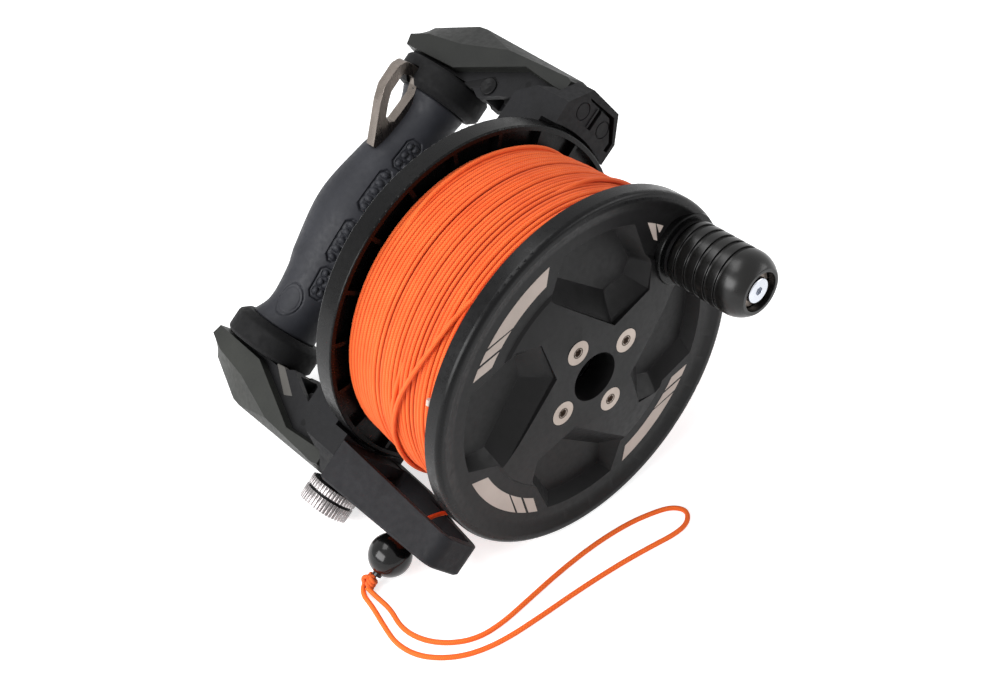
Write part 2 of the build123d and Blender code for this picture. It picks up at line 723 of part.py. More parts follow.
ring_middle = (ring_inner_end + ring_outer_end) / 2
ring_slot = (ring_outer_end - ring_inner_end + 2 * seat, 2 * ring_height)
swell_shares = ((-1, 1, 1, 0), (-0.86, 0.875, 0.86, -0.1), (-0.6, 0.93, 0.93, -0.08), (-0.45, 1.05, 1.07, -0.05),
                (0, 1.265, 1.265, 0), (0.45, 1.05, 1.07, -0.05), (0.6, 0.93, 0.93, -0.08), (0.86, 0.875, 0.86, -0.1),
                (1, 1, 1, 0))
with BuildPart() as grip:
    for place, depth, width, shift in swell_shares:
        middle = spot(handle_setback, place * grip_half, shift * grip_end_radius)
        with BuildSketch(own_plane(middle, along)):
            Ellipse(width * grip_end_radius, depth * grip_end_radius)
    loft()
    with BuildSketch(own_plane(spot(handle_setback, 0, 0), along)):
        Circle(core_radius + seat)
    extrude(amount=grip_half + overrun, both=True, mode=Mode.SUBTRACT)
    with BuildSketch(across(ring_setback)):
        with Locations((ring_middle, ring_root - seat)):
            Rectangle(*ring_slot, align=(Align.CENTER, Align.MIN))
    extrude(amount=ring_thickness / 2 + seat, both=True, mode=Mode.SUBTRACT)
grip.part.label = "grip"
export_step(grip.part, "parts/grip.step")

collar_shares = ((0, 0.84), (0.2, 0.98), (0.3, 1), (0.9, 1), (1, 0.95))
for hand, end in ((1, "upper"), (-1, "lower")):
    with BuildPart() as collar:
        with BuildSketch(level()):
            with BuildLine():
                start = grip_half + seat
                rim = [(-handle_setback + collar_radius * r, hand * (start + collar_length * x))
                       for x, r in collar_shares]
                inner = -handle_setback + core_radius + seat
                Polyline((inner, rim[0][1]), *rim, (inner, rim[-1][1]), close=True)
            make_face()
        revolve(axis=handle_axis)
        if hand > 0:
            with BuildSketch(across(ring_setback)):
                with Locations((ring_middle, ring_root - seat)):
                    Rectangle(*ring_slot, align=(Align.CENTER, Align.MIN))
            extrude(amount=ring_thickness / 2 + seat, both=True, mode=Mode.SUBTRACT)
    collar.part.label = f"{end}_collar"
    export_step(collar.part, f"parts/{end}_collar.step")

# Line guide: a tapered loop that runs forward from the lower block
guide_round = 6
guide_edge = 1
ramp_shares = ((1, 0.52), (0.55, 0.34), (0.13, 0), (1, 0))
guide_length = block_front - guide_tip
with BuildPart() as line_guide:
    with BuildSketch(facing(-block_inner)) as guide_outline:
        with BuildLine():
            Polyline((-block_half, -block_front + seat), (-guide_tip_half, -guide_tip),
                     (guide_tip_half, -guide_tip), (block_half, -block_front + seat), close=True)
        make_face()
        fillet(guide_outline.vertices().group_by(Axis.Y)[-1], guide_round)
    extrude(amount=-(guide_drop + guide_height - guide_edge))
    with BuildSketch(facing(-guide_top - guide_height + guide_edge)):
        add(guide_outline.sketch_local)
    extrude(amount=-guide_edge, taper=45)
    with BuildSketch(level(-block_half)):
        Polygon((-block_front, -block_inner), (0, -block_inner + overrun), (0, -guide_top), align=None)
    extrude(amount=2 * block_half, mode=Mode.SUBTRACT)
    with BuildSketch(level(-block_half)):
        with BuildLine():
            Polyline(*[(-guide_tip - x * guide_length + seat, -guide_top + y * guide_height)
                       for x, y in ramp_shares], close=True)
        make_face()
    extrude(amount=2 * guide_wall)
    with BuildSketch(facing(-guide_top - guide_height)) as guide_limit:
        add(guide_outline.sketch_local)
    extrude(amount=guide_drop + guide_height, mode=Mode.INTERSECT)
    with BuildSketch(facing(-guide_top)) as slot:
        with BuildLine():
            slope = (block_half - guide_tip_half) / guide_length
            slot_front = -guide_tip - guide_wall
            slot_rear = -block_front + guide_base
            front_half = guide_tip_half - guide_wall + guide_wall * slope
            rear_half = block_half - guide_wall - guide_base * slope
            Polyline((-rear_half, slot_rear), (-front_half, slot_front), (front_half, slot_front),
                     (rear_half, slot_rear), close=True)
        make_face()
        fillet(slot.vertices(), guide_wall / 2)
    extrude(amount=guide_height + overrun, both=True, mode=Mode.SUBTRACT)
    for way in (1, -1):
        place = spot(block_front - guide_base, -guide_screw_reach, way * guide_screw_spread)
        with BuildSketch(own_plane(place, forward)):
            Circle(guide_screw_radius + seat)
        extrude(amount=-guide_base - overrun, mode=Mode.SUBTRACT)
line_guide.part.label = "line_guide"
export_step(line_guide.part, "parts/line_guide.step")

guide_screw_head = 3
for number, way in ((1, 1), (2, -1)):
    place = spot(block_front - guide_base, -guide_screw_reach, way * guide_screw_spread)
    with BuildPart(own_plane(place, forward)) as screw:
        Cylinder(guide_screw_head, guide_screw_head * 2 / 3, align=on_base)
        Cylinder(guide_screw_radius, guide_base + guide_screw_depth - seat, align=on_top)
        with BuildSketch(screw.faces().sort_by(Axis.X)[-1]):
            RegularPolygon(guide_screw_radius, 6)
        extrude(amount=-guide_screw_head / 2, mode=Mode.SUBTRACT)
    screw.part.label = f"guide_screw_{number}"
    export_step(screw.part, f"parts/guide_screw_{number}.step")

# Brake: a captive knurled knob drives a shoe towards the rear rim
stem_clear = 1.3
stem_top = block_inner + stem_clear
brake_clear = 3
brake_top = block_outer + brake_clear
core_share = 0.9
shoe_top = rim_radius + shoe_gap
shoe_bottom = shoe_top + shoe_length
with BuildPart() as brake_shoe:
    with BuildSketch(own_plane(spot(brake_setback, -shoe_bottom, 0), along)):
        Circle(shoe_radius)
        Circle(stem_radius + seat, mode=Mode.SUBTRACT)
    extrude(amount=shoe_length)
brake_shoe.part.label = "brake_shoe"
export_step(brake_shoe.part, "parts/brake_shoe.step")

with BuildPart(own_plane(spot(brake_setback, -stem_top, 0), along)) as brake_knob:
    Cylinder(stem_radius, brake_reach - stem_top - gap, align=on_top)
    with BuildSketch(own_plane(spot(brake_setback, -brake_top, 0), along)):
        Circle(brake_radius * core_share)
    extrude(amount=-(brake_reach - brake_top - gap))
brake_knob.part.label = "brake_knob"
export_step(brake_knob.part, "parts/brake_knob.step")

knurl_count = 44
knurl_depth = 0.5
inner_ring = 3.4
outer_ring = 5.6
ring_spans = ((brake_top + gap, inner_ring), (brake_reach - outer_ring, outer_ring))
for (start, height), name in zip(ring_spans, ("brake_ring_inner", "brake_ring_outer")):
    with BuildPart() as knurled:
        with BuildSketch(own_plane(spot(brake_setback, -start, 0), along)):
            Circle(brake_radius)
            with PolarLocations(brake_radius, knurl_count):
                Circle(knurl_depth, mode=Mode.SUBTRACT)
            Circle(brake_radius * core_share + seat, mode=Mode.SUBTRACT)
        extrude(amount=-height)
    knurled.part.label = name
    export_step(knurled.part, f"parts/{name}.step")

# Stopper ball on the line's end, with its neck
ball_reach = guide_top + guide_height + seat + ball_radius
neck_radius = 2
neck_length = 0.9
neck_end = ball_reach + ball_radius + neck_length
ball_spot = spot(ball_setback, -ball_reach, 0)
with BuildPart(own_plane(ball_spot, along)) as stopper_ball:
    Sphere(ball_radius)
    Cylinder(neck_radius, neck_end - ball_reach, align=on_top)
    Cylinder(line_diameter / 2 + gap, 2 * neck_end, mode=Mode.SUBTRACT)
stopper_ball.part.label = "stopper_ball"
export_step(stopper_ball.part, "parts/stopper_ball.step")

knot_length = 5.4
knot_radius = 3.2
with BuildPart() as line_knot:
    with BuildSketch(level()):
        with BuildLine():
            start = (-ball_setback, -neck_end - seat)
            finish = (-ball_setback, -neck_end - seat - knot_length)
            Polyline(start, (start[0] + knot_radius / 2, start[1]))
            ThreePointArc((start[0] + knot_radius / 2, start[1]),
                          (start[0] + knot_radius, (start[1] + finish[1]) / 2),
                          (finish[0] + knot_radius / 2, finish[1]))
            Polyline((finish[0] + knot_radius / 2, finish[1]), finish, start)
        make_face()
    revolve(axis=Axis(spot(ball_setback, 0, 0), along))
line_knot.part.label = "line_knot"
export_step(line_knot.part, "parts/line_knot.step")


def cord(name, points, diameter):
    """A round cord along straight runs joined by tangent arcs."""
    points = [Vector(point) for point in points]
    radii = []
    for before, here, after in zip(points, points[1:], points[2:]):
        run = min((here - before).length, (after - here).length)
        half_turn = radians((here - before).get_angle(after - here)) / 2
        radii.append(0.45 * run / tan(half_turn))
    with BuildPart() as tube:
        with BuildLine() as path:
            FilletPolyline(*points, radius=radii)
        with BuildSketch(Plane(origin=path.line @ 0, z_dir=path.line % 0)):
            Circle(diameter / 2)
        sweep(path=path.line)
    tube.part.label = name
    export_step(tube.part, f"parts/{name}.step")
    plain = pi * diameter ** 2 / 4 * path.wire().length
    print(name, "radii", [round(radius, 1) for radius in radii])
    print(name, "volume", round(tube.part.volume, 1), "section times length", round(plain, 1))


# The loose end leaves the outer layer, crosses the guide's far wall and runs down its slot to the ball
lead_radius = layer_top + line_diameter / 2 + 2 * gap
lead_turn = ((10.6, -0.4, 262), (11, 0.9, 254), (12.2, 1.2, 243), (14.5, 1.2, 232), (17.5, 1, 223))
lead_drop = ((27, 5.4, -16), (28.4, 3.1, -9), (30, -3, -3.2), (31.4, -8.4, -0.5), (32, -11.8, 0))
lead_points = [
    *[polar(setback, lead_radius + lift, angle) for setback, lift, angle in lead_turn],
    *[spot(setback, rise - guide_top, w) for setback, rise, w in lead_drop],
    spot(ball_setback, -ball_reach, seat),
    spot(ball_setback, -neck_end, 0),
]
cord("lead_line", lead_points, line_diameter)

# The lanyard loop lies on the floor in front of the reel, from the knot and back to it
rest = -rim_radius + lanyard_diameter / 2
knot_end = neck_end + seat + knot_length
knot_foot = spot(ball_setback, -knot_end, 0)
loop_shape = (
    (8, -4.4), (19, -6.9), (29, -8.6), (39, -5.9), (47, 1.1), (52.5, 10.1), (55.8, 22.6), (57, 39.6),
    (57.8, 59.6), (59.6, 80.6), (62, 96.6), (63.8, 106.6), (63.3, 114.6), (58.5, 119.6), (52.8, 116.4),
    (49.6, 108.6), (46.6, 96.6), (45.2, 79.6), (45.8, 60.6), (47.6, 42.6), (49.2, 27.6), (48.2, 15.6),
    (42.5, 6.1), (34, -0.4), (24, -2.6), (14, 0), (5.5, -0.4),
)
lanyard_points = [
    spot(ball_setback + 3.2, -knot_end - gap, -0.6),
    (knot_foot.X - 0.5, knot_foot.Y - 3.6, rest + gap),
    *[(knot_foot.X + x, knot_foot.Y + y, rest) for x, y in loop_shape],
    spot(ball_setback - 0.4, -knot_end - gap, 1.4),
]
cord("lanyard_loop", lanyard_points, lanyard_diameter)

print("lean", round(degrees(lean), 2))
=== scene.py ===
import random
from math import cos, hypot, pi, radians, sin

import bpy
from mathutils import Matrix, Vector


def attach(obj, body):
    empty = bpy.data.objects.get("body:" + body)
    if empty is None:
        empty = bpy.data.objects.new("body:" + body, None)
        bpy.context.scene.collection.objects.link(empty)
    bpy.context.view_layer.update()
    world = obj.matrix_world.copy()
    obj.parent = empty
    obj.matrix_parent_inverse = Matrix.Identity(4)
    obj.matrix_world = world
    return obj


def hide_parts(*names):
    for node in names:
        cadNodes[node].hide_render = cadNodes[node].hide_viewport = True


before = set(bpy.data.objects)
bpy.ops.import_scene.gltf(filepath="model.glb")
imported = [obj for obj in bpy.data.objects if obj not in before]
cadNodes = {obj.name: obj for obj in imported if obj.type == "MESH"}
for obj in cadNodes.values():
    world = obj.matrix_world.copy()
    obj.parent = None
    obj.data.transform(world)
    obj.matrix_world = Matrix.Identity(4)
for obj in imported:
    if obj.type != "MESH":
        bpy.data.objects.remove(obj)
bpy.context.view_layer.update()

# Places are written as on the bench: millimetres behind the front rim, along the handle, beside it
mm = 0.001
lean = radians(52.12)
alongHandle = Vector((0, sin(lean), cos(lean)))
besideHandle = Vector((0, -cos(lean), sin(lean)))
spoolAxis = Vector((1, 0, 0))


def spot(setback, u, w):
    return (spoolAxis * -setback + alongHandle * u + besideHandle * w) * mm


def polar(setback, radius, angle):
    return spot(setback, radius * cos(radians(angle)), radius * sin(radians(angle)))


# Camera, floor and light
cameraSetup = {
    "place": (0.2805, -0.2595, 0.3450),
    "right": (0.6526, 0.7549, -0.0647),
    "up": (-0.4601, 0.4627, 0.7578),
    "lens": 48.99,
    "sensor": 36,
}


def addCamera():
    right = Vector(cameraSetup["right"]).normalized()
    back = right.cross(Vector(cameraSetup["up"])).normalized()
    turn = Matrix((right, back.cross(right), back)).transposed()
    data = bpy.data.cameras.new("benchCamera")
    data.lens = cameraSetup["lens"]
    data.sensor_width = cameraSetup["sensor"]
    data.clip_start = 0.01
    camera = bpy.data.objects.new("benchCamera", data)
    camera.matrix_world = Matrix.Translation(cameraSetup["place"]) @ turn.to_4x4()
    bpy.context.scene.collection.objects.link(camera)
    bpy.context.scene.camera = camera


lamps = (  # name, place, watts, width, height
    ("keyBox", (-0.1, -1.0, 0.45), 15, 0.9, 0.6),
    ("topBox", (-0.35, -0.2, 1.1), 6, 0.8, 0.5),
    ("farBox", (0.75, 0.8, 0.5), 4, 0.9, 0.35),
)
floorSetup = {"size": 6, "level": -0.07506, "colour": (0.8, 0.8, 0.8, 1), "lift": 0.7}
worldSetup = {"fill": (0.8, 0.81, 0.83, 1), "fillStrength": 0.36, "seen": (1, 1, 1, 1)}


def seenDirectly(tree):
    # 1 for camera, glossy and transmission rays, 0 for the rest
    path = tree.nodes.new("ShaderNodeLightPath")
    total = path.outputs["Is Camera Ray"]
    for name in ("Is Glossy Ray", "Is Transmission Ray"):
        either = tree.nodes.new("ShaderNodeMath")
        either.operation = "MAXIMUM"
        tree.links.new(total, either.inputs[0])
        tree.links.new(path.outputs[name], either.inputs[1])
        total = either.outputs[0]
    return total


def addLight():
    for name, place, watts, width, height in lamps:
        data = bpy.data.lights.new(name, "AREA")
        data.shape = "RECTANGLE"
        data.size, data.size_y = width, height
        data.energy = watts
        lamp = bpy.data.objects.new(name, data)
        lamp.matrix_world = Matrix.Translation(place) @ Vector(place).to_track_quat("Z", "Y").to_matrix().to_4x4()
        bpy.context.scene.collection.objects.link(lamp)
    world = bpy.data.worlds.new("studio")
    bpy.context.scene.world = world
    world.use_nodes = True
    tree = world.node_tree
    tree.nodes.clear()
    fill = tree.nodes.new("ShaderNodeBackground")
    fill.inputs["Color"].default_value = worldSetup["fill"]
    fill.inputs["Strength"].default_value = worldSetup["fillStrength"]
    seen = tree.nodes.new("ShaderNodeBackground")
    seen.inputs["Color"].default_value = worldSetup["seen"]
    seen.inputs["Strength"].default_value = 1
    mix = tree.nodes.new("ShaderNodeMixShader")
    out = tree.nodes.new("ShaderNodeOutputWorld")
    tree.links.new(seenDirectly(tree), mix.inputs[0])
    tree.links.new(fill.outputs[0], mix.inputs[1])
    tree.links.new(seen.outputs[0], mix.inputs[2])
    tree.links.new(mix.outputs[0], out.inputs[0])


def addFloor():
    bpy.ops.mesh.primitive_plane_add(size=floorSetup["size"], location=(0, 0, floorSetup["level"]))
    floor = bpy.context.object
    floor.name = "paleFloor"
    material = bpy.data.materials.new("floorPaint")
    material.use_nodes = True
    tree = material.node_tree
    shader = tree.nodes["Principled BSDF"]
    shader.inputs["Base Color"].default_value = floorSetup["colour"]
    shader.inputs["Roughness"].default_value = 0.9
    shader.inputs["Specular IOR Level"].default_value = 0
    glow = tree.nodes.new("ShaderNodeEmission")
    lift = tree.nodes.new("ShaderNodeMath")
    lift.operation = "MULTIPLY"
    lift.inputs[1].default_value = floorSetup["lift"]
    both = tree.nodes.new("ShaderNodeAddShader")
    tree.links.new(seenDirectly(tree), lift.inputs[0])
    tree.links.new(lift.outputs[0], glow.inputs["Strength"])
    tree.links.new(shader.outputs[0], both.inputs[0])
    tree.links.new(glow.outputs[0], both.inputs[1])
    tree.links.new(both.outputs[0], tree.nodes["Material Output"].inputs[0])
    floor.data.materials.append(material)


addCamera()
addLight()
addFloor()
bpy.context.scene.view_settings.view_transform = "Standard"
print("camera, light and floor are set")


# Materials
def swatch(red, green, blue):
    # a colour as it looks on screen, made linear
    parts = [part / 255 for part in (red, green, blue)]
    return (*[p / 12.92 if p < 0.0405 else ((p + 0.055) / 1.055) ** 2.4 for p in parts], 1)


def newMaterial(name):
    material = bpy.data.materials.new(name)
    material.use_nodes = True
    tree = material.node_tree
    return material, tree, tree.nodes["Principled BSDF"]


def addNoise(tree, source, scale, detail=3.0, stretch=None):
    if stretch:
        turn = tree.nodes.new("ShaderNodeMapping")
        turn.inputs["Scale"].default_value = stretch
        tree.links.new(source, turn.inputs["Vector"])
        source = turn.outputs[0]
    noise = tree.nodes.new("ShaderNodeTexNoise")
    noise.inputs["Scale"].default_value = scale
    noise.inputs["Detail"].default_value = detail
    tree.links.new(source, noise.inputs["Vector"])
    return noise.outputs["Fac"]


def spread(tree, value, low, high, start=0.3, end=0.7):
    ranger = tree.nodes.new("ShaderNodeMapRange")
    ranger.inputs["From Min"].default_value = start
    ranger.inputs["From Max"].default_value = end
    ranger.inputs["To Min"].default_value = low
    ranger.inputs["To Max"].default_value = high
    tree.links.new(value, ranger.inputs["Value"])
    return ranger.outputs[0]


def sumMath(tree, operation, first, second=None):
    node = tree.nodes.new("ShaderNodeMath")
    node.operation = operation
    for socket, value in zip(node.inputs, (first, second)):
        if value is None:
            continue
        if isinstance(value, (int, float)):
            socket.default_value = value
        else:
            tree.links.new(value, socket)
    return node.outputs[0]


def axisDistance(tree, coords):
    # distance from the spool's axis, and the place along it
    split = tree.nodes.new("ShaderNodeSeparateXYZ")
    tree.links.new(coords, split.inputs[0])
    squares = [sumMath(tree, "MULTIPLY", split.outputs[i], split.outputs[i]) for i in (1, 2)]
    return sumMath(tree, "SQRT", sumMath(tree, "ADD", *squares)), split.outputs[0]


def blendColours(tree, factor, first, second):
    mix = tree.nodes.new("ShaderNodeMix")
    mix.data_type = "RGBA"
    tree.links.new(factor, mix.inputs[0])
    for socket, colour in ((mix.inputs[6], first), (mix.inputs[7], second)):    # its two colours
        if isinstance(colour, tuple):
            socket.default_value = colour
        else:
            tree.links.new(colour, socket)
    return mix.outputs[2]


def addBump(tree, shader, heights):
    # heights are (value, depth in mm), laid over each other
    normal = None
    for height, depth in heights:
        bump = tree.nodes.new("ShaderNodeBump")
        bump.inputs["Strength"].default_value = 1
        bump.inputs["Distance"].default_value = depth * mm
        tree.links.new(height, bump.inputs["Height"])
        if normal:
            tree.links.new(normal, bump.inputs["Normal"])
        normal = bump.outputs[0]
    tree.links.new(normal, shader.inputs["Normal"])


finishes = {  # colour, paler colour, roughness low and high, grain per metre, grain depth mm, metallic, specular
    "faceBlack": ((16, 16, 16), (24, 23, 24), 0.36, 0.48, 3200, 0.012, 0.0, 0.16),
    "rimBlack": ((6, 6, 6), (11, 11, 12), 0.24, 0.34, 2600, 0.004, 0.0, 0.14),
    "frameBlack": ((15, 15, 16), (23, 23, 25), 0.5, 0.66, 2300, 0.045, 0.0, 0.16),
    "armOlive": ((36, 37, 35), (46, 47, 44), 0.46, 0.6, 2100, 0.035, 0.0, 0.2),
    # painted shade: the upper arm cover is the same olive as the lower one, darkened for the shade it lies in
    "oliveCoverInShade": ((27, 28, 27), (35, 36, 34), 0.4, 0.54, 2100, 0.03, 0.0, 0.2),
    "innerBlack": ((9, 9, 10), (15, 15, 16), 0.42, 0.58, 2300, 0.03, 0.0, 0.14),
    "cheekGrey": ((70, 68, 65), (82, 80, 77), 0.5, 0.62, 2300, 0.03, 0.0, 0.25),
    "collarBlack": ((12, 12, 13), (18, 18, 19), 0.62, 0.78, 2600, 0.03, 0.0, 0.15),
    "guideBlack": ((21, 21, 23), (30, 30, 33), 0.54, 0.68, 2400, 0.05, 0.0, 0.16),
    "crankBlack": ((9, 9, 9), (15, 14, 13), 0.27, 0.32, 3600, 0.003, 0.0, 0.32),
    "ballBlack": ((8, 8, 8), (12, 12, 13), 0.12, 0.24, 900, 0.008, 0.0, 0.2),
    "gripRubber": ((28, 29, 34), (39, 40, 45), 0.48, 0.64, 3000, 0.02, 0.0, 0.25),
    "printPale": ((186, 172, 163), (204, 189, 180), 0.5, 0.62, 2600, 0.01, 0.0, 0.3),
    "screwSteel": ((148, 137, 129), (170, 158, 149), 0.3, 0.42, 2600, 0.01, 1.0, 0.5),
    "brightSteel": ((178, 181, 188), (206, 209, 216), 0.16, 0.26, 2600, 0.006, 1.0, 0.5),
    # painted shade: the dark mouths round the screw sockets
    "socketShade": ((52, 44, 38), (72, 62, 54), 0.4, 0.5, 2600, 0.01, 1.0, 0.5),
    "knurlNickel": ((128, 124, 124), (158, 154, 154), 0.2, 0.32, 1500, 0.01, 1.0, 0.5),
    "brushedSteel": ((104, 97, 91), (142, 133, 126), 0.2, 0.36, 2600, 0.008, 1.0, 0.5),
    "axleMetal": ((96, 96, 99), (118, 118, 121), 0.28, 0.4, 2200, 0.01, 1.0, 0.5),
    "drumBlack": ((16, 16, 17), (25, 25, 26), 0.5, 0.62, 1800, 0.03, 0.0, 0.2),
    "bushIvory": ((150, 146, 134), (168, 164, 150), 0.4, 0.52, 1600, 0.02, 0.0, 0.4),
}
patchScale = 55  # broad cloudiness, per metre
handlingScale = 420  # small smears from handling, per metre
brushing = (1, 1, 0.06)  # how brushed steel's smears are drawn out
lip = {"radius": 71.6, "blend": 0.5, "colour": (8, 8, 9), "shine": 0.12}  # the front flange outside its face
ballCoat = {"weight": 0.2, "roughness": 0.08}
looks = {}
for finishName, (dark, pale, smooth, rough, grain, depth, metal, shine) in finishes.items():
    material, tree, shader = newMaterial(finishName)
    coords = tree.nodes.new("ShaderNodeTexCoord").outputs["Object"]
    stretch = brushing if finishName == "brushedSteel" else None
    patches = addNoise(tree, coords, patchScale, 4)
    smears = addNoise(tree, coords, handlingScale, 3, stretch)
    fine = addNoise(tree, coords, grain, 2, stretch)
    shade = blendColours(tree, spread(tree, patches, 0, 1), swatch(*dark), swatch(*pale))
    speck = blendColours(tree, spread(tree, fine, 0, 0.35, 0.45, 0.75), shade, swatch(*pale))
    tree.links.new(speck, shader.inputs["Base Color"])
    tree.links.new(spread(tree, smears, smooth, rough), shader.inputs["Roughness"])
    shader.inputs["Metallic"].default_value = metal
    shader.inputs["Specular IOR Level"].default_value = shine
    addBump(tree, shader, [(fine, depth), (smears, depth)])
    if finishName == "faceBlack":
        onLip = spread(tree, axisDistance(tree, coords)[0], 0, 1, lip["radius"] * mm,
                       (lip["radius"] + lip["blend"]) * mm)
        tree.links.new(blendColours(tree, onLip, speck, swatch(*lip["colour"])), shader.inputs["Base Color"])
        dull = sumMath(tree, "SUBTRACT", spread(tree, smears, smooth, rough),
                       sumMath(tree, "MULTIPLY", onLip, lip["shine"]))
        tree.links.new(dull, shader.inputs["Roughness"])
    if finishName == "ballBlack":
        shader.inputs["Coat Weight"].default_value = ballCoat["weight"]
        shader.inputs["Coat Roughness"].default_value = ballCoat["roughness"]
    looks[finishName] = material

cordLooks = {  # colour, groove colour, length in metres; the groove colour is painted shade in the weave's grooves and also tints the soiled patches
    "lineBraid": {"face": (250, 118, 54), "groove": (214, 66, 22), "length": 11.4},
    "leadBraid": {"face": (248, 106, 46), "groove": (214, 60, 22), "length": 0.137},
    "loopBraid": {"face": (255, 122, 46), "groove": (236, 84, 26), "length": 0.33},
    "strandBraid": {"face": (250, 118, 54), "groove": (214, 66, 22), "length": 0.13},
}
cordThickness = {"lead": 1.8, "loop": 2.1, "strand": 1.9}
braid = {"pitch": 0.95, "carriers": 4, "depth": 0.04, "fuzzScale": 5200, "fuzzDepth": 0.03, "soilScale": 70,
         "roughness": (0.55, 0.72), "specular": 0.2, "sheen": 0.06}
hollowShade = {"colour": (178, 44, 14), "low": -0.5, "high": 0.55}  # painted shade between the turns, heights in mm


winding = {"rear": 64.9, "front": 9.7, "turns": 27.4, "radius": 65.9, "crown": 1.2, "thickness": 1.92,
           "steps": 44, "endAngle": 95, "wander": 0.3, "wave": 0.12, "lift": 0.36, "fades": 6, "draws": 40,
           "seed": 11}


def windingHeight(tree, coords):
    # how far a point lies above the middle of the outer turns, in mm
    distance, along = axisDistance(tree, coords)
    reach = sumMath(tree, "MULTIPLY", distance, 1 / mm)
    span = (winding["rear"] - winding["front"]) * mm
    share = sumMath(tree, "DIVIDE", sumMath(tree, "ADD", along, winding["rear"] * mm), span)
    crown = sumMath(tree, "MULTIPLY", sumMath(tree, "SINE", sumMath(tree, "MULTIPLY", share, pi)), winding["crown"])
    return sumMath(tree, "SUBTRACT", sumMath(tree, "SUBTRACT", reach, crown), winding["radius"])


def braidMaterial(name):
    look = cordLooks[name]
    material, tree, shader = newMaterial(name)
    coords = tree.nodes.new("ShaderNodeTexCoord")
    split = tree.nodes.new("ShaderNodeSeparateXYZ")
    tree.links.new(coords.outputs["UV"], split.inputs[0])
    lengthwise = sumMath(tree, "MULTIPLY", split.outputs[0], look["length"] / (braid["pitch"] * mm) * 2 * pi)
    roundwise = sumMath(tree, "MULTIPLY", split.outputs[1], braid["carriers"] * 2 * pi)
    rising = sumMath(tree, "SINE", sumMath(tree, "ADD", lengthwise, roundwise))
    falling = sumMath(tree, "SINE", sumMath(tree, "SUBTRACT", lengthwise, roundwise))
    weave = sumMath(tree, "MAXIMUM", rising, falling)
    fuzz = addNoise(tree, coords.outputs["Object"], braid["fuzzScale"], 2)
    soil = addNoise(tree, coords.outputs["Object"], braid["soilScale"], 3)
    # painted shade: the weave pattern is real, and its grooves are darkened towards the groove colour as shade
    raised = spread(tree, weave, 0.25, 1, -0.2, 0.9)
    weaveShadedTone = blendColours(tree, raised, swatch(*look["groove"]), swatch(*look["face"]))
    tone = blendColours(tree, spread(tree, soil, 0, 0.3), weaveShadedTone, swatch(*look["groove"]))
    # painted shade: the wound line's colour darkens into the hollows between its turns, by height above the turns'
    # middle
    if name == "lineBraid":
        height = windingHeight(tree, coords.outputs["Object"])
        lit = spread(tree, height, 0, 1, hollowShade["low"], hollowShade["high"])
        tone = blendColours(tree, lit, swatch(*hollowShade["colour"]), tone)
    tree.links.new(tone, shader.inputs["Base Color"])
    tree.links.new(spread(tree, fuzz, *braid["roughness"]), shader.inputs["Roughness"])
    shader.inputs["Specular IOR Level"].default_value = braid["specular"]
    shader.inputs["Sheen Weight"].default_value = braid["sheen"]
    addBump(tree, shader, [(weave, braid["depth"]), (fuzz, braid["fuzzDepth"])])
    looks[name] = material


for cordLook in cordLooks:
    braidMaterial(cordLook)
print("materials are mixed:", len(looks))


# Tools for the pieces
mergeReach = 0.000004
seamReach = 0.000002
flatAngle = 0.4
cordAngle = 60  # cords are smooth across edges up to this


def pickOnly(piece):
    bpy.ops.object.select_all(action="DESELECT")
    piece.select_set(True)
    bpy.context.view_layer.objects.active = piece


def place(piece, body, look, slotName):
    piece.data.materials.clear()
    piece.data.materials.append(looks[look])
    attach(piece, body)


def smoothPiece(piece, angle=34, even=True):
    pickOnly(piece)
    bpy.ops.object.shade_smooth_by_angle(angle=radians(angle))
    if even:
        piece.modifiers.new("evenNormals", "WEIGHTED_NORMAL").keep_sharp = True
        bpy.ops.object.modifier_apply(modifier="evenNormals")


def dressNode(nodeName, pieceName, body, look, slotName, edge=0.0, rounds=2, angle=34, clamp=True):
    # a merged copy of a CAD node with its edges eased
    piece = bpy.data.objects.new(pieceName, cadNodes[nodeName].data.copy())
    bpy.context.scene.collection.objects.link(piece)
    pickOnly(piece)
    if piece.data.has_custom_normals:
        bpy.ops.mesh.customdata_custom_splitnormals_clear()
    bpy.ops.object.mode_set(mode="EDIT")
    bpy.ops.mesh.select_all(action="SELECT")
    bpy.ops.mesh.remove_doubles(threshold=mergeReach)
    bpy.ops.mesh.dissolve_limited(angle_limit=radians(flatAngle))
    bpy.ops.object.mode_set(mode="OBJECT")
    if edge:
        bevel = piece.modifiers.new("easedEdges", "BEVEL")
        bevel.width = edge * mm
        bevel.segments = rounds
        bevel.limit_method = "ANGLE"
        bevel.angle_limit = radians(angle)
        bevel.use_clamp_overlap = clamp
        bpy.ops.object.modifier_apply(modifier="easedEdges")
    smoothPiece(piece, angle)
    place(piece, body, look, slotName)
    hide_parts(nodeName)
    return piece


def paintNode(nodeName, look):
    # a hidden or small CAD node keeps its shape and takes a finish
    node = cadNodes[nodeName]
    node.data.materials.clear()
    node.data.materials.append(looks[look])


def closeShell():
    # in edit mode: every face turned outwards, and back to object mode
    bpy.ops.mesh.select_all(action="SELECT")
    bpy.ops.mesh.normals_make_consistent(inside=False)
    bpy.ops.object.mode_set(mode="OBJECT")


def routeCurve(name, points, thickness, resolution=8, roundness=3):
    # a smooth cord on a NURBS route
    data = bpy.data.curves.new(name, "CURVE")
    data.dimensions = "3D"
    route = data.splines.new("NURBS")
    route.points.add(len(points) - 1)
    for knob, point in zip(route.points, points):
        knob.co = (*point, 1)
    route.order_u = 3
    route.use_endpoint_u = True
    data.resolution_u = resolution
    data.bevel_depth = thickness * mm / 2
    data.bevel_resolution = roundness
    data.use_fill_caps = True
    piece = bpy.data.objects.new(name, data)
    bpy.context.scene.collection.objects.link(piece)
    return piece


def meshFrom(piece):
    pickOnly(piece)
    bpy.ops.object.convert(target="MESH")
    return bpy.context.object


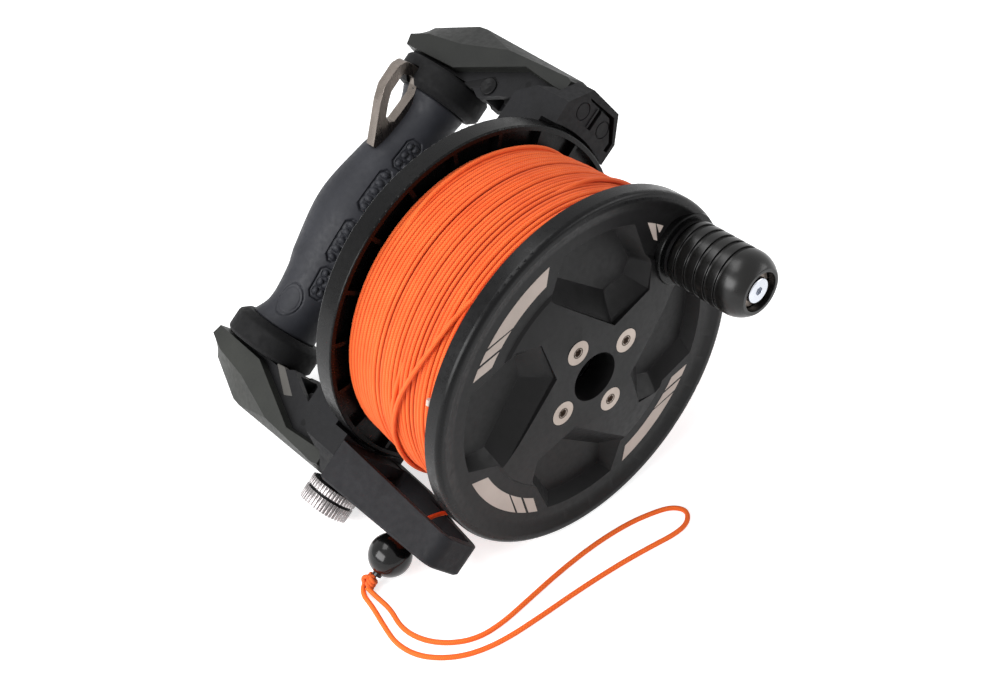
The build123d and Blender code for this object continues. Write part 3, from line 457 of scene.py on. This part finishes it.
def turnedPiece(name, profile, centre, direction, steps=96):
    # a closed profile of (reach along the axis, radius) turned round the axis
    axis = Vector(direction).normalized()
    side = axis.orthogonal().normalized()
    data = bpy.data.meshes.new(name)
    corners = [Vector(centre) + axis * reach * mm + side * radius * mm for reach, radius in profile]
    data.from_pydata(corners, [(i, (i + 1) % len(corners)) for i in range(len(corners))], [])
    piece = bpy.data.objects.new(name, data)
    bpy.context.scene.collection.objects.link(piece)
    pickOnly(piece)
    bpy.ops.object.mode_set(mode="EDIT")
    bpy.ops.mesh.select_all(action="SELECT")
    bpy.ops.mesh.spin(steps=steps, angle=2 * pi, center=centre, axis=axis)
    bpy.ops.mesh.select_all(action="SELECT")
    bpy.ops.mesh.remove_doubles(threshold=mergeReach)
    closeShell()
    return piece


def slabPiece(name, corners, low, high, edge, rounds=2):
    # a block from corners of (setback, along), between two distances beside the handle
    bpy.ops.object.select_all(action="DESELECT")
    bpy.ops.mesh.primitive_circle_add(vertices=len(corners), fill_type="NGON")
    piece = bpy.context.object
    piece.name = name
    for vertex, (setback, u) in zip(piece.data.vertices, corners):
        vertex.co = spot(setback, u, low)
    bpy.ops.object.mode_set(mode="EDIT")
    bpy.ops.mesh.select_all(action="SELECT")
    bpy.ops.mesh.extrude_region_move(TRANSFORM_OT_translate={"value": besideHandle * (high - low) * mm})
    closeShell()
    bevel = piece.modifiers.new("easedEdges", "BEVEL")
    bevel.width = edge * mm
    bevel.segments = rounds
    bpy.ops.object.modifier_apply(modifier="easedEdges")
    smoothPiece(piece)
    return piece


# The loose end of the line, its stopper ball and the lanyard loop
leadRoute = [
    polar(10.6, 67.6, 262), polar(11, 68.9, 254), polar(12.2, 69.2, 243), polar(14.5, 69.2, 232), polar(17.5, 69, 223),
    spot(27, -76.1, -16), spot(28.4, -78.4, -9), spot(30, -84.5, -3.2), spot(31.4, -89.9, -0.5), spot(32, -93.3, 0),
    spot(32, -103.4, 0), spot(32, -113.2, 0),
]
floorRest = -0.07395
knotFoot = spot(32, -118.64, 0)
loopTrace = (
    (8, -4.4), (19, -6.9), (29, -8.6), (39, -5.9), (47, 1.1), (52.5, 10.1), (55.8, 22.6), (57, 39.6), (57.8, 59.6),
    (59.6, 80.6), (62, 96.6), (63.8, 106.6), (63.3, 114.6), (58.5, 119.6), (52.8, 116.4), (49.6, 108.6),
    (46.6, 96.6), (45.2, 79.6), (45.8, 60.6), (47.6, 42.6), (49.2, 27.6), (48.2, 15.6), (42.5, 6.1), (34, -0.4),
    (24, -2.6), (14, 0), (5.5, -0.4),
)
loopRoute = [
    spot(35.2, -118.94, -0.6), Vector((knotFoot.x - 0.5 * mm, knotFoot.y - 3.6 * mm, floorRest + 0.3 * mm)),
    *[Vector((knotFoot.x + x * mm, knotFoot.y + y * mm, floorRest)) for x, y in loopTrace],
    spot(31.6, -118.94, 1.4),
]
leadCord = routeCurve("leadCord", leadRoute, cordThickness["lead"])
place(leadCord, "frame", "leadBraid", "line")
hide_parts("lead_line")
loopCord = routeCurve("loopCord", loopRoute, cordThickness["loop"])
place(loopCord, "frame", "loopBraid", "lanyard")
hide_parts("lanyard_loop")

# The knot under the ball: three turns round the ends and a strand over them
knotShape = {"top": -114.6, "bottom": -118.6, "centre": 32.6, "radius": 1.75, "turns": 3, "steps": 12, "tilt": 0.55,
             "strand": (32.2, 2.4), "strandRise": (2.6, 0.5), "strandShares": (0.15, 0.5, 0.85)}


def knotRoute():
    points = [spot(32.5, knotShape["top"] + 0.7, -1.0)]
    count = knotShape["turns"] * knotShape["steps"]
    for step in range(count + 1):
        turn = 2 * pi * step / knotShape["steps"]
        reach = knotShape["top"] + (knotShape["bottom"] - knotShape["top"]) * step / count
        tilt = knotShape["tilt"] * cos(turn)
        points.append(spot(knotShape["centre"] + knotShape["radius"] * cos(turn), reach + tilt,
                           knotShape["radius"] * sin(turn)))
    for share in knotShape["strandShares"]:
        reach = knotShape["bottom"] + (knotShape["top"] - knotShape["bottom"]) * share
        setback, w = [start + rise * sin(pi * share)
                      for start, rise in zip(knotShape["strand"], knotShape["strandRise"])]
        points.append(spot(setback, reach, w))
    points.append(spot(32.2, knotShape["top"] + 0.5, 0.6))
    return points


knot = meshFrom(routeCurve("cordKnot", knotRoute(), cordThickness["strand"], 5, 3))
smoothPiece(knot, cordAngle, even=False)
place(knot, "frame", "strandBraid", "lanyard")
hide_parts("line_knot")
ball = dressNode("stopper_ball", "stopperBall", "frame", "ballBlack", "ball", angle=40)
print("cords are laid")

# The wound line: a full outer layer, a ridged layer under it, and slack strands over it
def windingRoute():
    draw = random.Random(winding["seed"])
    sways = [draw.uniform(-1, 1) for _ in range(winding["draws"])]
    rises = [draw.uniform(-1, 1) for _ in range(winding["draws"])]
    count = round(winding["turns"] * winding["steps"])
    points = []
    for step in range(count + 1):
        turn = step / winding["steps"]
        share = turn / winding["turns"]
        setback = winding["rear"] + (winding["front"] - winding["rear"]) * share
        whole, part = int(turn), turn - int(turn)
        ease = part * part * (3 - 2 * part)
        sway = sways[whole] * (1 - ease) + sways[whole + 1] * ease
        rise = rises[whole] * (1 - ease) + rises[whole + 1] * ease
        angle = winding["endAngle"] + 360 * (turn - winding["turns"])
        wave = sin(radians(angle * 2)) * winding["wave"]
        fade = min(1, winding["fades"] * share, winding["fades"] * (1 - share))
        radius = winding["radius"] + winding["crown"] * sin(pi * share) + winding["lift"] * rise * fade
        points.append(polar(setback + (winding["wander"] * sway + wave) * fade, radius, angle))
    return points


outerLayer = meshFrom(routeCurve("outerLayer", windingRoute(), winding["thickness"], 2, 2))
smoothPiece(outerLayer, cordAngle, even=False)
place(outerLayer, "spool", "lineBraid", "line")
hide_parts("line_winding")

underLayer = {"rear": 65.6, "front": 11.0, "radius": 64.9, "crown": 1.2, "ridges": 27, "depth": 0.7,
              "inner": 37.0, "sideRidges": 14, "ridgeSteps": 4, "turnSteps": 128}


def ridgeDip(step):
    return underLayer["depth"] * (1 - abs(sin(2 * pi * step / underLayer["ridgeSteps"] + pi / 4)))


def underProfile():
    span = underLayer["rear"] - underLayer["front"]
    height = underLayer["radius"] - underLayer["inner"]
    topSteps = underLayer["ridges"] * underLayer["ridgeSteps"]
    sideSteps = underLayer["sideRidges"] * underLayer["ridgeSteps"]
    profile = []
    for step in range(topSteps + 1):
        share = step / topSteps
        profile.append((-underLayer["front"] - span * share,
                        underLayer["radius"] + underLayer["crown"] * sin(pi * share) - ridgeDip(step)))
    for setback, inward in ((underLayer["rear"], 1), (underLayer["front"], -1)):
        side = [(-setback + inward * ridgeDip(step), underLayer["radius"] - height * (step / sideSteps))
                for step in range(1, sideSteps)]
        profile.extend(side[::inward])
    return profile


under = turnedPiece("underLayer", underProfile(), (0, 0, 0), spoolAxis, underLayer["turnSteps"])
smoothPiece(under, 50, even=False)


# painted shade: the cord under the outer turns gets a darker red than they have, for the shade it shows in between them
shadedUnderBraid = {"dark": (172, 44, 14), "pale": (204, 60, 20), "fuzzScale": 2600, "fuzzDepth": 0.06, "soilScale": 90,
              "roughness": (0.6, 0.75), "specular": 0.3}


def ridgedLineMaterial():
    material, tree, shader = newMaterial("shadedUnderBraid")
    coords = tree.nodes.new("ShaderNodeTexCoord").outputs["Object"]
    fuzz = addNoise(tree, coords, shadedUnderBraid["fuzzScale"], 2)
    soil = addNoise(tree, coords, shadedUnderBraid["soilScale"], 3)
    tone = blendColours(tree, spread(tree, soil, 0, 1), swatch(*shadedUnderBraid["dark"]), swatch(*shadedUnderBraid["pale"]))
    tree.links.new(tone, shader.inputs["Base Color"])
    tree.links.new(spread(tree, fuzz, *shadedUnderBraid["roughness"]), shader.inputs["Roughness"])
    shader.inputs["Specular IOR Level"].default_value = shadedUnderBraid["specular"]
    addBump(tree, shader, [(fuzz, shadedUnderBraid["fuzzDepth"])])
    looks["shadedUnderBraid"] = material


ridgedLineMaterial()
place(under, "spool", "shadedUnderBraid", "line")
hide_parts("line_core")

slackStrands = {  # (setback, radius, angle) points, at rest
    "slackStrandOne": ((15.6, 66.2, 91), (16.6, 68.2, 98), (18.2, 69.1, 106), (21.2, 69.5, 114), (25.6, 69.7, 123),
                       (29.9, 69.8, 132), (33.6, 69.6, 142), (37, 69.3, 152.5), (39.6, 69, 165), (41, 67.8, 178),
                       (41.8, 66, 190)),
    "slackStrandTwo": ((33, 66.4, 120), (33.6, 68.4, 130), (35, 69.1, 142), (36.8, 69.5, 154), (38.6, 69.6, 166),
                       (40.2, 69.2, 178), (41.4, 68.2, 190), (42.2, 66.2, 200)),
    "slackStrandThree": ((60.6, 65.2, 8), (60.9, 67.6, 16), (61.3, 68.1, 30), (61.6, 68.2, 46), (61.4, 68.1, 62),
                         (60.8, 67.7, 78), (60.4, 65.4, 88)),
    "slackStrandFour": ((30, 66.4, -28), (29.6, 68.6, -20), (29, 69.2, -6), (28, 69.3, 8), (27.2, 69, 22),
                        (26.8, 68.4, 34), (26.6, 66.4, 44)),
}
for strandName, strandPoints in slackStrands.items():
    strand = meshFrom(routeCurve(strandName, [polar(*point) for point in strandPoints], cordThickness["strand"], 6, 3))
    smoothPiece(strand, cordAngle, even=False)
    place(strand, "spool", "strandBraid", "line")
tag = {"setback": 14.9, "radius": 68, "start": 124.5, "end": 126.5, "thickness": 2.15}  # a pale band on one turn
tagAngles = (tag["start"], (tag["start"] + tag["end"]) / 2, tag["end"])
tagRoute = [polar(tag["setback"], tag["radius"], angle) for angle in tagAngles]
band = meshFrom(routeCurve("lineTag", tagRoute, tag["thickness"], 4, 3))
smoothPiece(band, 50, even=False)
place(band, "spool", "printPale", "line")
print("line is wound")

# Spool
dressNode("spool_front_flange", "frontFlange", "spool", "faceBlack", "flange", edge=0.28)
dressNode("spool_rear_flange", "rearFlange", "spool", "rimBlack", "flange", edge=0.22)
for number in range(1, 5):
    dressNode(f"flange_screw_{number}", f"flangeScrew{number}", "spool", "screwSteel", "screw_steel", edge=0.12)
screwRings = {"circle": 18.4, "angle": 77.5, "rise": 0.9,  # painted shade: dark mouths of the sockets, and painted shadow in the gaps round the heads
              "mouth": ((-0.3, 1.76), (0.02, 1.8), (0.02, 2.3), (-0.3, 2.3)),
              "gap": ((-0.3, 5.15), (0.012, 5.15), (0.012, 5.5), (-0.3, 5.5))}
for number in range(4):
    centre = polar(-screwRings["rise"], screwRings["circle"], screwRings["angle"] + 90 * number)
    for part, look, slotName in (("mouth", "socketShade", "screw_steel"), ("gap", "rimBlack", "flange")):
        ring = turnedPiece(f"screw{part.title()}{number + 1}", screwRings[part], centre, spoolAxis, 48)
        smoothPiece(ring)
        place(ring, "spool", look, slotName)
paintNode("spool_drum", "drumBlack")
for bush in ("front_bush", "rear_bush"):
    paintNode(bush, "bushIvory")

stripes = {"outer": 62.0, "floor": 2.31, "thickness": 0.07, "steps": 24,
           # outer and inner angles of each part's two ends, and its inner radius
           "parts": ((68, 72, 101, 91, 55.4), (102.3, 92.3, 107.2, 99.6, 55.4), (108.6, 101.2, 113.4, 107.6, 55.4)),
           "bossParts": ((102.7, 102.8, 106.9, 103.4, 59.2), (107.5, 101.9, 112, 104.4, 56))}


def addStripe(name, quarter, part):
    bpy.ops.object.select_all(action="DESELECT")
    bpy.ops.mesh.primitive_grid_add(x_subdivisions=stripes["steps"], y_subdivisions=1, size=2)
    piece = bpy.context.object
    piece.name = name
    outerStart, innerStart, outerEnd, innerEnd, inner = part
    for vertex in piece.data.vertices:
        along, across = (vertex.co.x + 1) / 2, (vertex.co.y + 1) / 2
        start = innerStart + (outerStart - innerStart) * across
        end = innerEnd + (outerEnd - innerEnd) * across
        radius = inner + (stripes["outer"] - inner) * across
        vertex.co = polar(stripes["floor"] - stripes["thickness"], radius, start + (end - start) * along + 90 * quarter)
    bpy.ops.object.mode_set(mode="EDIT")
    bpy.ops.mesh.select_all(action="SELECT")
    bpy.ops.mesh.extrude_region_move(TRANSFORM_OT_translate={"value": (-stripes["thickness"] * mm * 2, 0, 0)})
    closeShell()
    smoothPiece(piece, 30, even=False)
    place(piece, "spool", "printPale", "flange")


for quarter in range(4):
    # beside the crank its boss takes most of the stripe's place
    for index, part in enumerate(stripes["bossParts" if quarter == 3 else "parts"]):
        addStripe(f"faceStripe{quarter + 1}{'abc'[index]}", quarter, part)
print("spool is dressed")

# Crank
bossStep = {"setback": 0, "radius": 59.3, "angle": -4.3,  # a low step round the foot of the boss
            "profile": ((-2.8, 11.5), (-2.8, 15.4), (-0.5, 15.2), (0.2, 14.9), (0.45, 14.3), (0.45, 11.5))}
step = turnedPiece("bossStep", bossStep["profile"], polar(bossStep["setback"], bossStep["radius"], bossStep["angle"]),
                   spoolAxis)
smoothPiece(step)
place(step, "spool", "rimBlack", "flange")
dressNode("crank_knob", "crankKnob", "crank", "crankBlack", "crank", edge=0.3)
dressNode("crank_screw", "crankScrew", "spool", "brightSteel", "screw_steel", edge=0.15)
dressNode("crank_washer", "crankWasher", "spool", "screwSteel", "screw_steel", edge=0.1)
paintNode("crank_spindle", "axleMetal")

# Frame, arms and levers
for node in ("axle", "axle_ring", "thrust_washer", "axle_nut"):
    paintNode(node, "axleMetal")
dressNode("frame_bar", "rearBar", "frame", "frameBlack", "frame", edge=0.5)
# the upper cover takes the olive darkened as painted shade, the lower one the plain olive
for end, coverLook in (("upper", "oliveCoverInShade"), ("lower", "armOlive")):
    dressNode(f"{end}_side_frame", f"{end}SideFrame", "frame", "frameBlack", "frame", edge=0.45)
    dressNode(f"{end}_arm_cover", f"{end}ArmShell", "frame", coverLook, "cover", edge=0.9)
    dressNode(f"{end}_lever", f"{end}ReleaseLever", f"{end}_release", "innerBlack", "frame", edge=0.35)
    paintNode(f"{end}_frame_screw", "screwSteel")
    paintNode(f"{end}_cover_screw", "screwSteel")
    paintNode(f"{end}_lever_pin", "innerBlack")
    paintNode(f"{end}_lever_spring", "axleMetal")
    paintNode(f"{end}_core_pin", "axleMetal")
    dressNode(f"{end}_collar", f"{end}Collar", "frame", "collarBlack", "collar", edge=0.3)
paintNode("handle_core", "axleMetal")

# Cheeks beside each release lever, and a sunk screw seat beside the upper one
cheeks = {"outer": 8.95, "inner": 5.9, "edge": 0.6,
          "corners": ((133.4, 72.4), (127.6, 71.6), (114.4, 79.2), (119.2, 81.4))}
for end, hand, look in (("upper", 1, "innerBlack"), ("lower", -1, "cheekGrey")):
    outline = [(setback, hand * u) for setback, u in cheeks["corners"]]
    for side, way in (("Near", 1), ("Far", -1)):
        low, high = sorted((way * cheeks["inner"], way * cheeks["outer"]))
        cheek = slabPiece(f"{end}Cheek{side}", outline, low, high, cheeks["edge"])
        place(cheek, "frame", look, "frame")
screwSeat = {"setback": 119, "u": 76.2, "w": 8.6,
             "profile": ((-0.5, 4.1), (0.9, 3.9), (1.1, 3.6), (1.0, 3.2), (0.15, 1.1), (0.15, 0.02), (-0.5, 0.02))}
seat = turnedPiece("upperScrewSeat", screwSeat["profile"],
                   spot(screwSeat["setback"], screwSeat["u"], screwSeat["w"]), besideHandle, 48)
smoothPiece(seat)
place(seat, "frame", "innerBlack", "frame")
dressNode("d_ring", "sideRing", "frame", "brushedSteel", "ring_steel", edge=0.4, rounds=3)
dressNode("line_guide", "lineGuide", "frame", "guideBlack", "guide", edge=0.8, rounds=3)
for number in (1, 2):
    paintNode(f"guide_screw_{number}", "innerBlack")
print("frame is dressed")

# Brake
dressNode("brake_knob", "brakeStem", "brake", "innerBlack", "knob", edge=0.3)
for ringSide in ("inner", "outer"):
    dressNode(f"brake_ring_{ringSide}", f"knurl{ringSide.title()}", "brake", "knurlNickel", "knurl", edge=0.12)
paintNode("brake_shoe", "drumBlack")
print("brake is dressed")

# Grip: a swelling rubber sleeve with sunk dotted pads and a plain ring mark
grip = {"setback": 150, "half": 60, "end": 15.8, "endRound": 0.8, "endRun": 1.2, "endSlope": 1.4, "bore": 8.1,
        "alongSteps": 300, "roundSteps": 264, "reliefRadius": 18, "padReach": 3, "padCorner": 2.4, "cornerShare": 0.7,
        "sink": 0.3, "sinkRun": 0.8, "groove": 0.75, "grooveShift": 0.3, "grooveRun": 0.62,
        "dotRise": 0.8, "dotEdge": 1.15, "dotSlope": 1.3, "dotGroove": 0.35, "dotGrooveEdge": 1.2,
        "markSpot": (-47, 18.5), "markRadius": 7.6,
        # reach inside the mark's radius, depth and run of its two grooves
        "markGrooves": ((0, 0.5, 0.6), (1.6, 0.22, 0.4)),
        # along, depth and width shares, and shift beside the axis, each side of the middle
        "swell": ((0, 1.265, 1.265, 0), (0.45, 1.05, 1.07, -0.05), (0.6, 0.93, 0.93, -0.08),
                  (0.86, 0.875, 0.86, -0.1), (1, 1, 1, 0))}
gripPads = (  # start and end along, low and high angle, dots as (along, angle), dot half sizes
    (-41, -25.5, 40, 72, ((-37.4, 51), (-37.4, 62), (-33.1, 51), (-33.1, 62), (-28.8, 51), (-28.8, 62)), 1.45, 1.6),
    (-23.6, -2.2, 35, 56, ((-21, 45), (-16.9, 45), (-12.8, 45), (-8.7, 45), (-4.8, 45)), 1.3, 1.9),
    (2.2, 23.6, 35, 56, ((4.8, 45), (8.7, 45), (12.8, 45), (16.9, 45), (21, 45)), 1.3, 1.9),
    (25.5, 41, 40, 72, ((28.8, 51), (28.8, 62), (33.1, 51), (33.1, 62), (37.4, 51), (37.4, 62)), 1.45, 1.6),
)


def gripSection(u):
    # a smooth run through the table, level at the middle and the ends
    share = min(1, abs(u) / grip["half"])
    table = grip["swell"]
    slopes = [(0, 0, 0)]
    for before, after in zip(table, table[2:]):
        slopes.append(tuple((after[i] - before[i]) / (after[0] - before[0]) for i in (1, 2, 3)))
    slopes.append(tuple((table[-1][i] - table[-2][i]) / (table[-1][0] - table[-2][0]) * grip["endSlope"]
                        for i in (1, 2, 3)))
    index = max(i for i in range(len(table) - 1) if share >= table[i][0])
    low, high = table[index], table[index + 1]
    step = high[0] - low[0]
    t = (share - low[0]) / step
    values = []
    for i in (1, 2, 3):
        values.append(low[i] * (2 * t ** 3 - 3 * t * t + 1) + high[i] * (3 * t * t - 2 * t ** 3)
                      + step * slopes[index][i - 1] * (t ** 3 - 2 * t * t + t)
                      + step * slopes[index + 1][i - 1] * (t ** 3 - t * t))
    return [value * grip["end"] for value in values]


def softStep(value):
    value = max(0, min(1, value))
    return value * value * (3 - 2 * value)


def gripRelief(u, angle):
    # how far the surface stands out (+) or in (-) there, in mm
    relief = 0
    reach = grip["reliefRadius"] * radians(1)
    for start, end, low, high, dots, alongHalf, roundHalf in gripPads:
        if not start - grip["padReach"] < u < end + grip["padReach"]:
            continue
        middle, half = (start + end) / 2, (end - start) / 2
        across = (angle - (low + high) / 2) * reach
        halfAcross = (high - low) * reach / 2
        corner = abs(u - middle) + abs(across) - half - halfAcross + grip["padCorner"]
        outside = max(abs(u - middle) - half, abs(across) - halfAcross, corner * grip["cornerShare"])
        relief -= grip["groove"] * softStep(1 - abs(outside + grip["grooveShift"]) / grip["grooveRun"])
        relief -= grip["sink"] * softStep(-outside / grip["sinkRun"])
        for dotU, dotAngle in dots:
            away = hypot((u - dotU) / alongHalf, (angle - dotAngle) * reach / roundHalf)
            relief += grip["dotRise"] * softStep((grip["dotEdge"] - away) * grip["dotSlope"])
            relief -= grip["dotGroove"] * softStep(1 - abs(away - grip["dotGrooveEdge"]) / grip["dotGroove"])
    markAway = hypot(u - grip["markSpot"][0], (angle - grip["markSpot"][1]) * reach)
    for inside, depth, run in grip["markGrooves"]:
        relief -= depth * softStep(1 - abs(markAway - grip["markRadius"] + inside) / run)
    return relief


def addGrip():
    bpy.ops.object.select_all(action="DESELECT")
    bpy.ops.mesh.primitive_grid_add(x_subdivisions=grip["alongSteps"], y_subdivisions=grip["roundSteps"], size=2)
    piece = bpy.context.object
    piece.name = "gripSleeve"
    for vertex in piece.data.vertices:
        u = vertex.co.x * grip["half"]
        turn = (vertex.co.y + 1) * 180
        angle = turn - 180
        depth, width, shift = gripSection(u)
        edge = max(0, abs(u) - grip["half"] + grip["endRun"])
        drop = gripRelief(u, angle) - grip["endRound"] * (edge / grip["endRun"]) ** 2
        vertex.co = spot(grip["setback"] - (depth + drop) * sin(radians(angle)), u,
                         shift + (width + drop) * cos(radians(angle)))
    bpy.ops.object.mode_set(mode="EDIT")
    bpy.ops.mesh.select_all(action="SELECT")
    bpy.ops.mesh.remove_doubles(threshold=seamReach)
    bpy.ops.mesh.select_all(action="DESELECT")
    bpy.ops.mesh.select_non_manifold()
    bpy.ops.mesh.extrude_edges_move()
    bpy.ops.object.mode_set(mode="OBJECT")
    inner = [vertex for vertex in piece.data.vertices if vertex.select]
    for vertex in inner:
        u = vertex.co.dot(alongHandle) / mm
        w = vertex.co.dot(besideHandle) / mm
        a = -vertex.co.x / mm - grip["setback"]
        scale = grip["bore"] / hypot(a, w)
        vertex.co = spot(grip["setback"] + a * scale, u, w * scale)
    bpy.ops.object.mode_set(mode="EDIT")
    bpy.ops.mesh.bridge_edge_loops()
    closeShell()
    smoothPiece(piece, 45, even=False)
    place(piece, "frame", "gripRubber", "grip")
    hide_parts("grip")


addGrip()
print("grip is moulded")
